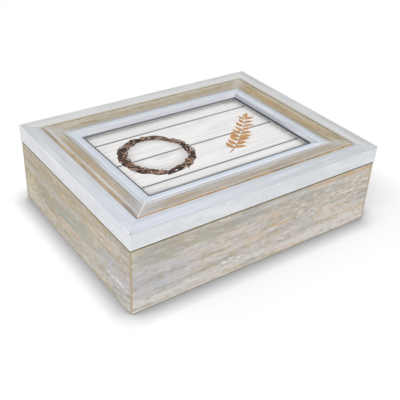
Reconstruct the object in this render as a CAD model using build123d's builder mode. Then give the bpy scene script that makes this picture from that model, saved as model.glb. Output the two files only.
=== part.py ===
from build123d import *

import os

# A hinged wooden box for photos, whose lid is a picture frame.
# Millimetres. +Z is up, +X runs along the long sides, and the hinges are at the back, +Y.
# The origin is the middle of the underside, on the surface the box stands on.

# ---------------------------------------------------------------- driving dimensions
lid_length = 222.0
lid_width = 172.0
total_height = 67.0
lid_height = 13.5
overhang = 0.6  # the lid stands this far past the walls, all round

wall = 8.0
corner_round = 0.9  # worn upright corners
arris = 0.5  # eased long edges

bottom_thick = 3.0
bottom_rebate = 4.0

photo_length = 152.0
photo_width = 102.0
sight_cover = 2.5  # how far the sight ring laps over the photo, each side
pocket_play = 0.3  # room round the photo, each side

# ---------------------------------------------------------------- worked out from them
seam = total_height - lid_height
body_length = lid_length - 2 * overhang
body_width = lid_width - 2 * overhang
inner_length = body_length - 2 * wall
inner_width = body_width - 2 * wall
frame_width = (lid_length - photo_length) / 2 + sight_cover

# ---------------------------------------------------------------- the lid's mouldings
# Widths are measured inwards from the lid's outer edge, drops down from its top.
rail_inner = 12.9
moulding_inner = 28.9
groove_half = 0.75
groove_drop = 0.9
ridge_drop = 0.1
ridge_width = 1.2
cove_drop = 1.0
cove_sag = 0.6
bead_width = 1.5
bead_rise = 0.35
ring_step = 0.7
ledge_width = 1.1
ledge_step = 0.35
ring_low = 4.1
glass_drop = 5.4
glass_thick = 2.0
card_thick = 0.4
backing_thick = 3.0
frame_underside = total_height - glass_drop - glass_thick - card_thick - backing_thick
pocket_edge = frame_width - sight_cover - pocket_play

# ---------------------------------------------------------------- hinges
hinge_length = 30.0
hinge_spacing = 124.0
leaf_thick = 1.0
leaf_edge = 7.0  # how far a leaf reaches in over the wall
knuckle_radius = 2.0
knuckle_gap = 0.2
knuckle_clearance = 0.15
pin_radius = 0.8
pin_play = 0.05
pin_head = 1.3
pin_head_thick = 0.6
hinge_y = lid_width / 2 + knuckle_radius + 0.1
mortise_play = 0.1
leaf_screw_spacing = 20.0
leaf_screw_y = body_width / 2 - leaf_edge / 2

# ---------------------------------------------------------------- screws, brads and nails
wood_screw_shank = 0.8
wood_screw_head = 1.6
wood_screw_length = 7.0
slot_width = 0.4
slot_depth = 0.35

brad_shank = 0.55
brad_head = 1.0
brad_head_thick = 0.4
brad_length = 11.0

nail_leg = 5.0
nail_thick = 0.6
nail_depth = 7.0
nail_inset = 5.0

# ---------------------------------------------------------------- turn buttons
button_length = 19.0
button_width = 8.0
button_thick = 1.0
button_gap = 0.1
button_pivot_inset = 30.9
button_spacing = 90.0
button_screw_shank = 1.0
button_screw_head = 2.2
button_screw_head_thick = 1.0
button_screw_length = 7.0
button_bore_play = 0.1

os.makedirs("parts", exist_ok=True)

# Each side: the way it faces, the way it runs, the lid's length along it and its distance out.
sides = {
    "front": (Vector(0, -1, 0), Vector(1, 0, 0), lid_length, lid_width / 2),
    "right": (Vector(1, 0, 0), Vector(0, 1, 0), lid_width, lid_length / 2),
    "back": (Vector(0, 1, 0), Vector(-1, 0, 0), lid_length, lid_width / 2),
    "left": (Vector(-1, 0, 0), Vector(0, -1, 0), lid_width, lid_length / 2),
}


def save(made, name):
    """Labels a finished piece and writes its STEP file."""
    made.part.label = name
    export_step(made.part, f"parts/{name}.step")


def section_plane(side):
    """A plane across a side, at its left end: x runs inwards from the lid's edge, y is up."""
    facing, along, length, reach = sides[side]
    return Plane(origin=facing * reach - along * (length / 2), x_dir=facing * -1, z_dir=along)


def plan_plane(side):
    """The ground plane with x along a side from its middle, and y inwards from the lid's edge."""
    facing, along, length, reach = sides[side]
    return Plane(origin=facing * reach, x_dir=along, z_dir=(0, 0, 1))


def mitred_plan(side, near, far, rounding):
    """The plan of a mitred piece between two distances in from the lid's edge."""
    half = sides[side][2] / 2
    tip = near + rounding * (1 - 0.5**0.5)
    with BuildSketch(plan_plane(side)) as plan:
        with BuildLine():
            Line((near + rounding - half, near), (half - near - rounding, near))
            Line((half - tip, tip), (half - far, far))
            Line((half - far, far), (far - half, far))
            Line((far - half, far), (tip - half, tip))
            if rounding > 0:
                TangentArc((half - near - rounding, near), (half - tip, tip), tangent=(1, 0))
                TangentArc((near + rounding - half, near), (tip - half, tip), tangent=(-1, 0))
        make_face()
    return plan


def wall_section(side):
    """A wall's section: eased outer edges, and a rebate for the bottom."""
    near = overhang
    far = overhang + wall
    with BuildSketch(section_plane(side)) as section:
        with BuildLine():
            Polyline(
                (near, arris),
                (near, seam - arris),
                (near + arris, seam),
                (far, seam),
                (far, bottom_thick),
                (far - bottom_rebate, bottom_thick),
                (far - bottom_rebate, 0),
                (near + arris, 0),
                close=True,
            )
        make_face()
    return section


def rail_section(side):
    """The lid's outer rail: a square edge with a soft arris, and half the groove's V inside."""
    top = total_height
    groove = rail_inner - groove_half
    with BuildSketch(section_plane(side)) as section:
        with BuildLine():
            Line((0, seam + arris), (0, top - arris))
            TangentArc((0, top - arris), (arris, top), tangent=(0, 1))
            Line((arris, top), (groove, top))
            Line((groove, top), (rail_inner, top - groove_drop))
            Line((rail_inner, top - groove_drop), (rail_inner, seam))
            Line((rail_inner, seam), (arris, seam))
            Line((arris, seam), (0, seam + arris))
        make_face()
    return section


def moulding_section(side):
    """The washed moulding: a ridge by the groove, a shallow cove, and a bead at its inner edge."""
    ridge_top = total_height - ridge_drop
    bead_foot = total_height - cove_drop
    ridge = rail_inner + groove_half
    cove_start = ridge + ridge_width
    bead_start = moulding_inner - bead_width
    cove_middle = ((cove_start + bead_start) / 2, (ridge_top + bead_foot) / 2 - cove_sag)
    bead_middle = (moulding_inner - bead_width / 2, bead_foot + bead_rise)
    with BuildSketch(section_plane(side)) as section:
        with BuildLine():
            Line((rail_inner, frame_underside), (rail_inner, total_height - groove_drop))
            Line((rail_inner, total_height - groove_drop), (ridge, ridge_top))
            Line((ridge, ridge_top), (cove_start, ridge_top))
            ThreePointArc((cove_start, ridge_top), cove_middle, (bead_start, bead_foot))
            ThreePointArc((bead_start, bead_foot), bead_middle, (moulding_inner, bead_foot))
            Line((moulding_inner, bead_foot), (moulding_inner, frame_underside))
            Line((moulding_inner, frame_underside), (rail_inner, frame_underside))
        make_face()
    return section


def sight_section(side):
    """The sight ring: it slopes down to a narrow ledge, and its rebate holds the picture."""
    ring_top = total_height - cove_drop - ring_step
    slope_end = total_height - ring_low
    ledge = frame_width - ledge_width
    glass_level = total_height - glass_drop
    with BuildSketch(section_plane(side)) as section:
        with BuildLine():
            Polyline(
                (moulding_inner, frame_underside),
                (moulding_inner, ring_top),
                (ledge, slope_end),
                (ledge, slope_end - ledge_step),
                (frame_width, slope_end - ledge_step),
                (frame_width, glass_level),
                (pocket_edge, glass_level),
                (pocket_edge, frame_underside),
                close=True,
            )
        make_face()
    return section


def mitred_piece(side, draw_section, near, far, rounding):
    """A straight length of one section with both ends mitred."""
    section = draw_section(side)
    plan = mitred_plan(side, near, far, rounding)
    with BuildPart() as piece:
        extrude(section.sketch, amount=sides[side][2])
        extrude(plan.sketch, amount=total_height, mode=Mode.INTERSECT)
    return piece


def leaf_screw_blanks(z_dir):
    """Countersunk screws through the hinge leaves, before their slots are cut."""
    heads = Plane((0, leaf_screw_y, seam), x_dir=(1, 0, 0), z_dir=z_dir)
    with BuildPart() as blanks:
        with BuildSketch(heads):
            with Locations(*[(x, 0) for x in leaf_screw_x]):
                Circle(wood_screw_head)
        extrude(amount=wood_screw_head - wood_screw_shank, taper=45)
        with BuildSketch(heads):
            with Locations(*[(x, 0) for x in leaf_screw_x]):
                Circle(wood_screw_shank)
        extrude(amount=wood_screw_length)
    return blanks


def slotted(blanks, z_dir):
    """The same screws with a slot in each head."""
    heads = Plane((0, leaf_screw_y, seam), x_dir=(1, 0, 0), z_dir=z_dir)
    with BuildPart() as screws:
        add(blanks.part)
        with BuildSketch(heads):
            with Locations(*[(x, 0) for x in leaf_screw_x]):
                Rectangle(2 * wood_screw_head, slot_width)
        extrude(amount=slot_depth, mode=Mode.SUBTRACT)
    return screws


def cross_plane(x):
    """The plane across the hinges' axis at one x."""
    return Plane((x, hinge_y, seam), x_dir=(0, 1, 0), z_dir=(1, 0, 0))


def leaf_mortises(depth):
    """The shallow cuts that let both hinges' leaves lie flush at the seam."""
    with BuildPart() as mortises:
        with BuildSketch(Plane.XY.offset(seam)):
            with Locations(*[(x, body_width / 2) for x in hinge_places.values()]):
                Rectangle(hinge_length + 2 * mortise_play, 2 * (leaf_edge + mortise_play))
        extrude(amount=depth)
    return mortises


def hinge_leaf(owner, middle):
    """One leaf with its knuckles. The body's leaf lies below the seam, the lid's above it."""
    leaf_back = hinge_y - knuckle_radius - knuckle_clearance
    leaf_front = body_width / 2 - leaf_edge
    thickness = -leaf_thick if owner == "body" else leaf_thick
    bore = pin_radius if owner == "body" else pin_radius + pin_play
    with BuildPart() as leaf:
        with BuildSketch(Plane.XY.offset(seam)):
            with Locations((middle, (leaf_front + leaf_back) / 2)):
                Rectangle(hinge_length, leaf_back - leaf_front)
            for start, stop in knuckle_x[owner]:
                with Locations((middle + (start + stop) / 2, (leaf_back + hinge_y) / 2)):
                    Rectangle(stop - start, hinge_y - leaf_back)
        extrude(amount=thickness)
        for start, stop in knuckle_x[owner]:
            with BuildSketch(cross_plane(middle + start)):
                Circle(knuckle_radius)
            extrude(amount=stop - start)
        with BuildSketch(cross_plane(middle - hinge_length)):
            Circle(bore)
        extrude(amount=2 * hinge_length, mode=Mode.SUBTRACT)
        add(leaf_screw_blank[owner].part, mode=Mode.SUBTRACT)
    return leaf


def headed_pin(middle):
    """A hinge pin with a small head at each end."""
    heads = (-hinge_length / 2 - pin_head_thick, hinge_length / 2)
    with BuildPart() as pin:
        with BuildSketch(cross_plane(middle - hinge_length / 2)):
            Circle(pin_radius)
        extrude(amount=hinge_length)
        for end in heads:
            with BuildSketch(cross_plane(middle + end)):
                Circle(pin_head)
            extrude(amount=pin_head_thick)
    return pin


# ---------------------------------------------------------------- places of the fixings
hinge_places = {"left": -hinge_spacing / 2, "right": hinge_spacing / 2}

leaf_screw_x = [
    middle + offset
    for middle in hinge_places.values()
    for offset in (-leaf_screw_spacing / 2, leaf_screw_spacing / 2)
]

button_places = {
    "turn_button_1": (-button_spacing / 2, -1),
    "turn_button_2": (button_spacing / 2, -1),
    "turn_button_3": (button_spacing / 2, 1),
    "turn_button_4": (-button_spacing / 2, 1),
}
button_pivot_y = lid_width / 2 - button_pivot_inset

brad_x = inner_length / 2 + bottom_rebate / 2
brad_y = inner_width / 2 + bottom_rebate / 2
brad_places = [(x, y) for x in (-inner_length / 3, 0, inner_length / 3) for y in (-brad_y, brad_y)]
brad_places += [(x, y) for x in (-brad_x, brad_x) for y in (-inner_width / 4, inner_width / 4)]

# ---------------------------------------------------------------- fixings
with BuildPart() as bottom_brads:
    with BuildSketch(Plane.XY):
        with Locations(*brad_places):
            Circle(brad_head)
    extrude(amount=brad_head_thick)
    with BuildSketch(Plane.XY):
        with Locations(*brad_places):
            Circle(brad_shank)
    extrude(amount=brad_length)
save(bottom_brads, "bottom_brads")

down = (0, 0, -1)
up = (0, 0, 1)
leaf_screw_blank = {"body": leaf_screw_blanks(down), "lid": leaf_screw_blanks(up)}
save(slotted(leaf_screw_blank["body"], down), "body_leaf_screws")
save(slotted(leaf_screw_blank["lid"], up), "lid_leaf_screws")

# A V-nail straddles each mitre of the outer rails, driven in from below.
with BuildPart() as mitre_nails:
    for x_sign in (-1, 1):
        for y_sign in (-1, 1):
            corner = Vector(
                x_sign * (lid_length / 2 - nail_inset), y_sign * (lid_width / 2 - nail_inset), seam
            )
            along_x = Plane(corner, x_dir=(-x_sign, 0, 0), z_dir=(0, 0, 1))
            along_y = Plane(corner, x_dir=(0, -y_sign, 0), z_dir=(0, 0, 1))
            for leg in (along_x, along_y):
                with BuildSketch(leg):
                    with Locations((nail_leg / 2 - nail_thick / 2, 0)):
                        Rectangle(nail_leg, nail_thick)
                extrude(amount=nail_depth)
save(mitre_nails, "mitre_nails")

# ---------------------------------------------------------------- hinges
body_mortises = leaf_mortises(-leaf_thick)
lid_mortises = leaf_mortises(leaf_thick)

# Three knuckles: the middle one belongs to the lid's leaf, the outer two to the body's.
knuckle_third = hinge_length / 3
knuckle_x = {
    "lid": [(-knuckle_third / 2 + knuckle_gap / 2, knuckle_third / 2 - knuckle_gap / 2)],
    "body": [
        (-hinge_length / 2, -knuckle_third / 2 - knuckle_gap / 2),
        (knuckle_third / 2 + knuckle_gap / 2, hinge_length / 2),
    ],
}


for hand, middle in hinge_places.items():
    save(hinge_leaf("body", middle), f"body_leaf_{hand}")
    save(hinge_leaf("lid", middle), f"lid_leaf_{hand}")
    save(headed_pin(middle), f"hinge_pin_{hand}")

# ---------------------------------------------------------------- box
for side in sides:
    blank = mitred_piece(side, wall_section, overhang, overhang + wall, corner_round)
    with BuildPart() as panel:
        add(blank.part)
        add(body_mortises.part, mode=Mode.SUBTRACT)
        add(leaf_screw_blank["body"].part, mode=Mode.SUBTRACT)
        add(bottom_brads.part, mode=Mode.SUBTRACT)
    save(panel, f"{side}_panel")

with BuildPart() as bottom_panel:
    with BuildSketch(Plane.XY):
        Rectangle(inner_length + 2 * bottom_rebate, inner_width + 2 * bottom_rebate)
    extrude(amount=bottom_thick)
    add(bottom_brads.part, mode=Mode.SUBTRACT)
save(bottom_panel, "bottom_panel")

# ---------------------------------------------------------------- lid
for side in sides:
    blank = mitred_piece(side, rail_section, 0, rail_inner, corner_round)
    with BuildPart() as rail:
        add(blank.part)
        add(lid_mortises.part, mode=Mode.SUBTRACT)
        add(leaf_screw_blank["lid"].part, mode=Mode.SUBTRACT)
        add(mitre_nails.part, mode=Mode.SUBTRACT)
    save(rail, f"lid_{side}_rail")

for side in sides:
    save(mitred_piece(side, moulding_section, rail_inner, moulding_inner, 0), f"moulding_{side}")

# Screws for the turn buttons, driven up into the sight ring.
screw_head_top = frame_underside - 2 * button_gap - button_thick
with BuildPart() as turn_button_screws:
    for x, y_sign in button_places.values():
        with BuildSketch(Plane.XY.offset(screw_head_top - button_screw_head_thick)):
            with Locations((x, y_sign * button_pivot_y)):
                Circle(button_screw_head)
        extrude(amount=button_screw_head_thick)
        with BuildSketch(Plane.XY.offset(screw_head_top)):
            with Locations((x, y_sign * button_pivot_y)):
                Circle(button_screw_shank)
        extrude(amount=button_screw_length)
        with BuildSketch(Plane.XY.offset(screw_head_top - button_screw_head_thick)):
            with Locations((x, y_sign * button_pivot_y)):
                Rectangle(2 * button_screw_head, slot_width)
        extrude(amount=slot_depth, mode=Mode.SUBTRACT)
save(turn_button_screws, "turn_button_screws")

for side in sides:
    blank = mitred_piece(side, sight_section, moulding_inner, frame_width, 0)
    with BuildPart() as sight:
        add(blank.part)
        add(turn_button_screws.part, mode=Mode.SUBTRACT)
    save(sight, f"sight_{side}")

glass_top = total_height - glass_drop
stack = {
    "glass_pane": (glass_top, glass_thick),
    "photo_insert": (glass_top - glass_thick, card_thick),
    "backing_board": (glass_top - glass_thick - card_thick, backing_thick),
}
for name, (top, thickness) in stack.items():
    with BuildPart() as sheet:
        with BuildSketch(Plane.XY.offset(top)):
            Rectangle(photo_length, photo_width)
        extrude(amount=-thickness)
    save(sheet, name)

# Each button lies across the backing board's edge, its free end towards the middle of the lid.
for name, (x, y_sign) in button_places.items():
    pivot = Plane(
        (x, y_sign * button_pivot_y, frame_underside - button_gap), x_dir=(0, -y_sign, 0), z_dir=(0, 0, -1)
    )
    with BuildPart() as button:
        with BuildSketch(pivot):
            with Locations((button_length / 2 - button_width / 2, 0)):
                SlotOverall(button_length, button_width)
            Circle(button_screw_shank + button_bore_play, mode=Mode.SUBTRACT)
        extrude(amount=button_thick)
    save(button, name)
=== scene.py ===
"""Dresses a wooden photo storage box: its finishes, the printed card behind the glass, and the studio.

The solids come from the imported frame: +X runs along the front, +Y to the hinged back and +Z up.
Sizes are in metres. An inset is a distance inwards from the lid's outer edge, as a frame maker
measures it, and "along" is the place along a side, from left to right or from front to back.
"""

import logging
import math
import random
from dataclasses import dataclass
from enum import Enum
from typing import Optional, Union

import bmesh
import bpy
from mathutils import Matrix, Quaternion, Vector


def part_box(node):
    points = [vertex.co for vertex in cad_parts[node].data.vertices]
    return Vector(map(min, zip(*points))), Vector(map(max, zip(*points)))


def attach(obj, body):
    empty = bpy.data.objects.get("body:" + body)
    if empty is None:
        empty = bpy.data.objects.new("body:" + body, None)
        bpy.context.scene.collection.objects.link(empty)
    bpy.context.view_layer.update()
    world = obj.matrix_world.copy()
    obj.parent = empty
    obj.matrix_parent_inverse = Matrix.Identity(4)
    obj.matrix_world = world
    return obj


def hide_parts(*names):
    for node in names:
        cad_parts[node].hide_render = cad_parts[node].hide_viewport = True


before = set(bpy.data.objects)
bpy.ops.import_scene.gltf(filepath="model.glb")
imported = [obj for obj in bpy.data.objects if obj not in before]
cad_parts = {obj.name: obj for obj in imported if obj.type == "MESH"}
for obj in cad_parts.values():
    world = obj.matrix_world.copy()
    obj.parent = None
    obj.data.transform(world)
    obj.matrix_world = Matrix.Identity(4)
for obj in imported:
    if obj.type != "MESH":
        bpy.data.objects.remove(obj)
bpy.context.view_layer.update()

# half the lid's length and width
LID_HALF_LENGTH = 0.111
LID_HALF_WIDTH = 0.086
# heights: the lid's top, its seam with the box, the ledge round the glass, the glass, the underside
# of the sight ring, and the height below which the lid's inner faces are bare wood
LID_TOP = 0.067
SEAM = 0.0535
LEDGE_TOP = 0.0623
GLASS_TOP = 0.0616
RING_UNDERSIDE = 0.0589
BARE_BELOW = 0.0600
# insets: the walls' outer and inner faces, and the groove where the rails meet the mouldings
WALL_OUTER = 0.0006
WALL_INNER = 0.0086
GROOVE = 0.0129

log = logging.getLogger("photo_box")

Spot = tuple[float, float, float]
Colour = tuple[float, float, float, float]
Value = Union[float, "Wire"]
Tint = Union[str, Colour, "Wire"]
Layer = tuple[Tint, Value]
Inputs = dict[Union[int, str], Union[float, Tint]]


def tint(tone: Tint) -> Union[Colour, "Wire"]:
    """Reads a paint colour.

    Args:
        tone: the colour as it looks on screen, such as "#c0bbb4". Anything else stays as it is.

    Returns:
        The same colour in Blender's linear numbers.
    """
    if not isinstance(tone, str):
        return tone
    steps = [int(tone[i : i + 2], 16) / 255 for i in (1, 3, 5)]
    linear = [s / 12.92 if s <= 0.04045 else ((s + 0.055) / 1.055) ** 2.4 for s in steps]
    return (linear[0], linear[1], linear[2], 1.0)


def add_object(name: str, data: bpy.types.ID) -> bpy.types.Object:
    """Puts a new object into the scene.

    Args:
        name: its name.
        data: its mesh, lamp or camera.

    Returns:
        The object.
    """
    made = bpy.data.objects.new(name, data)
    bpy.context.scene.collection.objects.link(made)
    return made


def turn_to(made: bpy.types.Object, place: Spot, back: Vector, roll: float = 0.0) -> None:
    """Stands a lamp or camera in its place and turns it.

    Args:
        made: the lamp or camera.
        place: where it stands.
        back: the way that its back faces.
        roll: how far it leans over, in degrees.
    """
    made.location = place
    made.rotation_mode = "QUATERNION"
    upright = back.to_track_quat("Z", "Y")
    made.rotation_quaternion = upright @ Quaternion((0.0, 0.0, 1.0), math.radians(roll))


class Side(Enum):
    """One of the four sides of the box, as seen by someone who faces its front."""

    FRONT = "front"
    RIGHT = "right"
    BACK = "back"
    LEFT = "left"

    @property
    def runs_along_x(self) -> bool:
        """True for the two long sides."""
        return self in (Side.FRONT, Side.BACK)

    @property
    def half_length(self) -> float:
        """Half the lid's length along this side."""
        return LID_HALF_LENGTH if self.runs_along_x else LID_HALF_WIDTH


@dataclass(frozen=True)
class Wire:
    """An output of a node tree that adds and multiplies like a number.

    Attributes:
        recipe: the recipe that the output belongs to.
        socket: the node's output socket.
    """

    recipe: "Recipe"
    socket: bpy.types.NodeSocket

    def __add__(self, other: Value) -> "Wire":
        """Adds two values."""
        return self.recipe.math("ADD", self, other)

    def __sub__(self, other: Value) -> "Wire":
        """Takes the other value from this one."""
        return self.recipe.math("SUBTRACT", self, other)

    def __rsub__(self, other: Value) -> "Wire":
        """Takes this value from the other one."""
        return self.recipe.math("SUBTRACT", other, self)

    def __mul__(self, other: Value) -> "Wire":
        """Multiplies two values."""
        return self.recipe.math("MULTIPLY", self, other)

    __radd__ = __add__
    __rmul__ = __mul__

    def size(self) -> "Wire":
        """The value without its sign."""
        return self.recipe.math("ABSOLUTE", self)

    def capped(self) -> "Wire":
        """The value, held at 1 or less."""
        return self.recipe.math("MINIMUM", self, 1.0)

    def step(self, start: float, stop: float, most: float = 1.0) -> "Wire":
        """A soft step.

        Args:
            start: where the step is still 0. It may lie above stop.
            stop: where the step has reached its full height.
            most: that height.

        Returns:
            0 to most.
        """
        inputs = dict(enumerate((self, start, stop, 0.0, most)))
        return self.recipe.node("MapRange", inputs, interpolation_type="SMOOTHSTEP")

    def band(self, low: float, high: float, soft: float) -> "Wire":
        """1 between low and high, with edges that soften over the distance soft."""
        return self.step(low - soft, low + soft) * self.step(high + soft, high - soft)


class Recipe:
    """The node tree of one material or world, written as short sums of noises, steps and coats.

    Attributes:
        owner: the material or world that is being made.
    """

    def __init__(self, name: str, world: bool = False) -> None:
        """Starts an empty material or world.

        Args:
            name: its name.
            world: True for a world.
        """
        self.owner = (bpy.data.worlds if world else bpy.data.materials).new(name)
        self.owner.use_nodes = True
        self._tree = self.owner.node_tree
        self._tree.nodes.clear()
        self._output = self._tree.nodes.new(f"ShaderNodeOutput{'World' if world else 'Material'}")

    def node(
        self, kind: str, inputs: Optional[Inputs] = None, out: Union[int, str] = 0, **settings: object
    ) -> Wire:
        """Adds a node.

        Args:
            kind: the kind of node, without Blender's "ShaderNode" in front.
            inputs: wires, numbers and colours for its inputs, by place or name.
            out: which of its outputs is wanted.
            settings: properties to set on it.

        Returns:
            That output.
        """
        made = self._tree.nodes.new(f"ShaderNode{kind}")
        for key, value in settings.items():
            setattr(made, key, value)
        for key, value in (inputs or {}).items():
            if isinstance(value, Wire):
                self._tree.links.new(value.socket, made.inputs[key])
            else:
                made.inputs[key].default_value = value
        return Wire(self, made.outputs[out])

    def math(self, operation: str, *values: Value) -> Wire:
        """Does one sum, which has Blender's name for it, on one or two values."""
        return self.node("Math", dict(enumerate(values)), operation=operation)

    def place(self) -> tuple[Wire, ...]:
        """The place on the piece in the box's own frame: x, y and z."""
        split = self.node("SeparateXYZ", {0: self.node("TexCoord", out="Object")})
        return tuple(Wire(self, out) for out in split.socket.node.outputs)

    def noise(self, x: Value, y: Value, z: Value, detail: float = 2.0) -> Wire:
        """Soft cloudy noise.

        Args:
            x, y, z: the place, each already multiplied by how many waves fit in a metre that way.
            detail: how many finer layers are added.

        Returns:
            A value round 0.5, mostly from 0.25 to 0.75.
        """
        place = self.node("CombineXYZ", {0: x, 1: y, 2: z})
        inputs = {"Vector": place, "Scale": 1.0, "Detail": detail}
        return self.node("TexNoise", inputs, "Fac", noise_dimensions="3D")

    def coat(self, colour: Tint, *layers: Layer) -> Wire:
        """Lays tones over a colour, one after the other.

        Args:
            colour: the colour that is there.
            layers: each tone, with how much it covers, from 0 to 1.

        Returns:
            The colour that shows.
        """
        for tone, amount in layers:
            inputs = {0: amount, 6: tint(colour), 7: tint(tone)}
            colour = self.node("Mix", inputs, 2, data_type="RGBA", clamp_factor=True)
        return colour

    def surface(
        self,
        colour: Wire,
        roughness: Value,
        relief: Wire,
        depth: float,
        metallic: float = 0.0,
        specular: float = 0.5,
    ) -> bpy.types.Material:
        """Ends the recipe in one surface.

        Args:
            colour: the surface's colour.
            roughness: 0 for a mirror to 1 for chalk.
            relief: the height of its fine relief, from 0 to 1.
            depth: how deep that relief is.
            metallic: 1 for bare metal.
            specular: how much a plain surface shines, with 0.5 as usual.

        Returns:
            The finished material.
        """
        inputs = {"Base Color": colour, "Roughness": roughness}
        inputs.update({"Metallic": metallic, "Specular IOR Level": specular})
        inputs["Normal"] = self.node("Bump", {"Strength": 1.0, "Distance": depth, "Height": relief})
        return self.end(self.node("BsdfPrincipled", inputs))

    def seen_directly(self) -> Wire:
        """Tells what the camera sees from the light that falls on the box.

        Returns:
            1 for what the camera sees itself, or in a reflection or through glass.
        """
        rays = self.node("LightPath").socket.node.outputs
        names = ("Is Camera Ray", "Is Glossy Ray", "Is Transmission Ray")
        camera, gloss, glass = (Wire(self, rays[name]) for name in names)
        return self.math("MAXIMUM", self.math("MAXIMUM", camera, gloss), glass)

    def end(self, shader: Wire) -> bpy.types.ID:
        """Sends a shader to the output, and returns the material or world."""
        self._tree.links.new(shader.socket, self._output.inputs["Surface"])
        return self.owner


class SideRecipe(Recipe):
    """The recipe for a piece on one side of the box.

    Attributes:
        inset: distance in from the lid's outer edge.
        along: place along the side.
        up: height.
        mitre: distance from the mitre line.
    """

    def __init__(self, name: str, side: Side) -> None:
        """Starts the side's material and works its places out.

        Args:
            name: the finish's name.
            side: the piece's side.
        """
        super().__init__(f"{name}_{side.value}")
        x, y, self.up = self.place()
        from_ends = LID_HALF_LENGTH - x.size()
        from_sides = LID_HALF_WIDTH - y.size()
        self.inset, self.along = (from_sides, x) if side.runs_along_x else (from_ends, y)
        self.mitre = (from_ends - from_sides).size()

    def bare_wood(self, seed: float) -> Wire:
        """Adds plain, unpainted softwood, for what the finisher leaves bare.

        Args:
            seed: moves the grain.

        Returns:
            The wood's colour.
        """
        rings = self.noise(self.along * 6, self.inset * 260, seed + 31, 3)
        pores = self.noise(self.along * 90, self.inset * 1400, seed + 33)
        rings, pores = rings.step(0.40, 0.66, 0.8), pores.step(0.44, 0.32, 0.35)
        return self.coat("#dbc7a4", ("#bfa27a", rings), ("#a98a62", pores))


@dataclass(frozen=True)
class Patch:
    """A soft patch of another tint, drawn out along the grain.

    Attributes:
        along: where its middle is along the piece.
        across: where its middle is across the piece.
        reach_along: half its length.
        reach_across: half its height.
        colour: its tint.
        strength: how much it covers in its middle.
        lean: how far it climbs across the grain for each metre along it.
    """

    along: float
    across: float
    reach_along: float
    reach_across: float
    colour: str
    strength: float
    lean: float = 0.0

    def layer(self, along: Wire, across: Wire, ragged: Wire) -> Layer:
        """Makes the patch's coat.

        Args:
            along: the place along the grain.
            across: the place across it.
            ragged: streaks from 0 to 1 that fray the patch.

        Returns:
            The patch's tint and how much it covers.
        """
        off_along = (along - self.along) * (1 / self.reach_along)
        rise = off_along * (self.lean * self.reach_along / self.reach_across)
        off_across = (across - self.across) * (1 / self.reach_across) - rise
        distance = off_along * off_along + off_across * off_across
        return self.colour, distance.step(1.0, 0.1) * ragged * self.strength


@dataclass(frozen=True)
class SideFinish:
    """A finish for one piece on one side of the box.

    Attributes:
        side: the piece's side.
        seed: moves its grain or brush marks, so that no two pieces are alike.
    """

    side: Side
    seed: float

    def make(self) -> bpy.types.Material:
        """Makes the finish; each kind of piece has its own way."""
        raise NotImplementedError


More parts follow.
